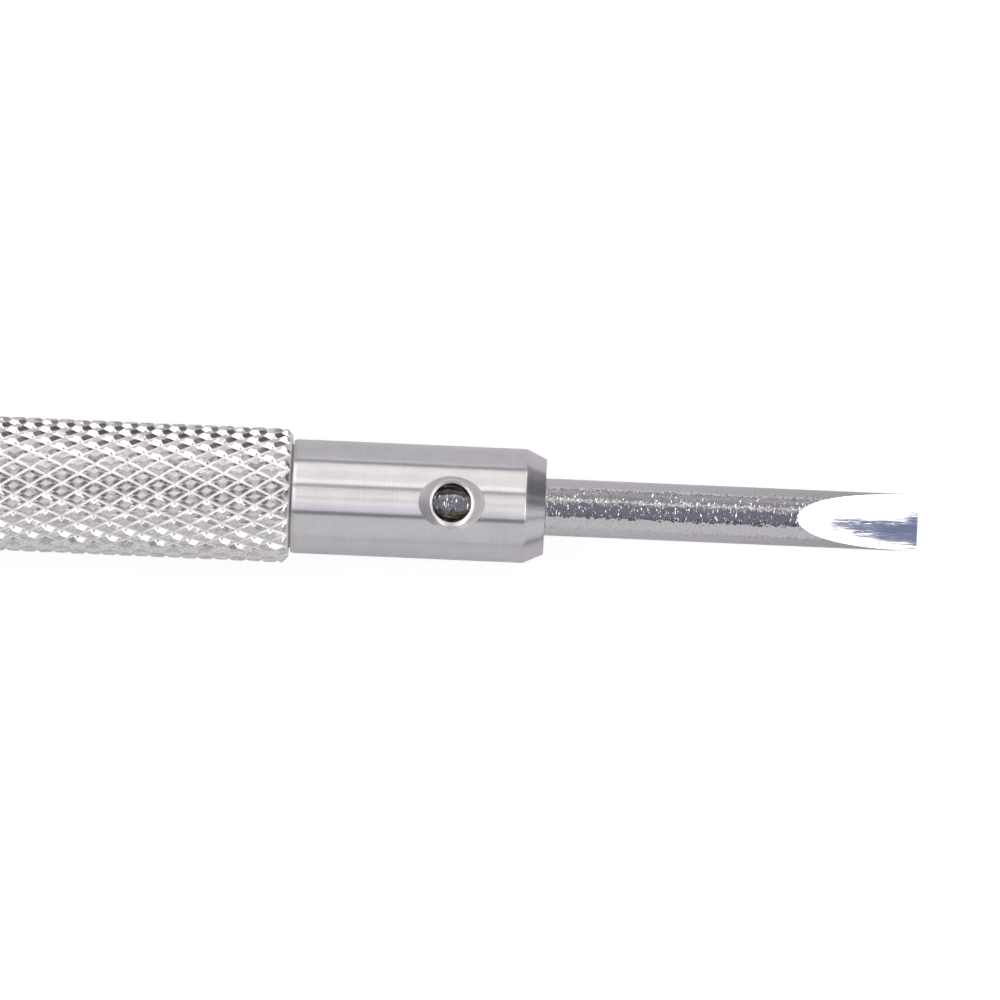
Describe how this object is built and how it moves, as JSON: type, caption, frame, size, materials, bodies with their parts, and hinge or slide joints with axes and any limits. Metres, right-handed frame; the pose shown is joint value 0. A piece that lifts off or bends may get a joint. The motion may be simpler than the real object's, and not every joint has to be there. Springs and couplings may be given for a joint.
{
  "type": "watchmaker screwdriver",
  "caption": "Slim flat-blade watchmaker screwdriver: hollow-ground blade clamped in a turned nose, diamond-knurled handle, size ring and hexagonal finger head on a ball bearing.",
  "frame": {"origin": "centre of the blade's working edge, with the blade at its shortest", "axes": "+X along the tool from the head to the blade's edge, +Z square to the blade's flats and along the nose's cross hole, out of its open mouth"},
  "size_m": [0.1154, 0.0102, 0.009],
  "materials": {
    "blade_steel": "polished tool steel, ground flats",
    "nose_steel": "fine turned, bright",
    "screw_steel": "plain hardened",
    "handle_steel": "diamond knurled, bright satin",
    "ring_anodised": "brown anodised, satin",
    "stud_steel": "turned",
    "bearing_steel": "lapped",
    "cage_brass": "plain machined",
    "shield_steel": "pressed sheet",
    "head_steel": "satin, polished chamfers",
    "dish_steel": "polished hollow"
  },
  "bodies": {
    "handle": {"knurled_handle": "handle_steel", "blade_holder": "nose_steel", "size_ring": "ring_anodised", "head_stud": "stud_steel", "bearing_inner_ring": "bearing_steel", "bearing_screw": "screw_steel"},
    "blade": {"blade": "blade_steel"},
    "clamp_screw": {"blade_set_screw": "screw_steel"},
    "swivel_head": {"swivel_shell": "head_steel", "finger_dish": "dish_steel", "bearing_outer_ring": "bearing_steel", "bearing_shield_front": "shield_steel", "bearing_shield_rear": "shield_steel"},
    "ball_cage": {"bearing_cage": "cage_brass", "bearing_ball_1": "bearing_steel", "bearing_ball_2": "bearing_steel", "bearing_ball_3": "bearing_steel", "bearing_ball_4": "bearing_steel", "bearing_ball_5": "bearing_steel", "bearing_ball_6": "bearing_steel", "bearing_ball_7": "bearing_steel"}
  },
  "joints": [
    {"name": "blade_slide", "type": "slide", "parent": "handle", "child": "blade", "axis": [1, 0, 0], "range_m": [0, 0.0124]},
    {"name": "clamp_screw_travel", "type": "slide", "parent": "handle", "child": "clamp_screw", "axis": [0, 0, -1], "range_m": [0, 0.0009]},
    {"name": "head_spin", "type": "hinge", "parent": "handle", "child": "swivel_head", "pos_m": [-0.1086, 0, 0], "axis": [1, 0, 0], "continuous": true},
    {"name": "cage_orbit", "type": "hinge", "parent": "handle", "child": "ball_cage", "pos_m": [-0.1086, 0, 0], "axis": [1, 0, 0], "continuous": true}
  ],
  "couplings": [
    {"joint": "cage_orbit", "follows": "head_spin", "ratio": 0.625}
  ]
}
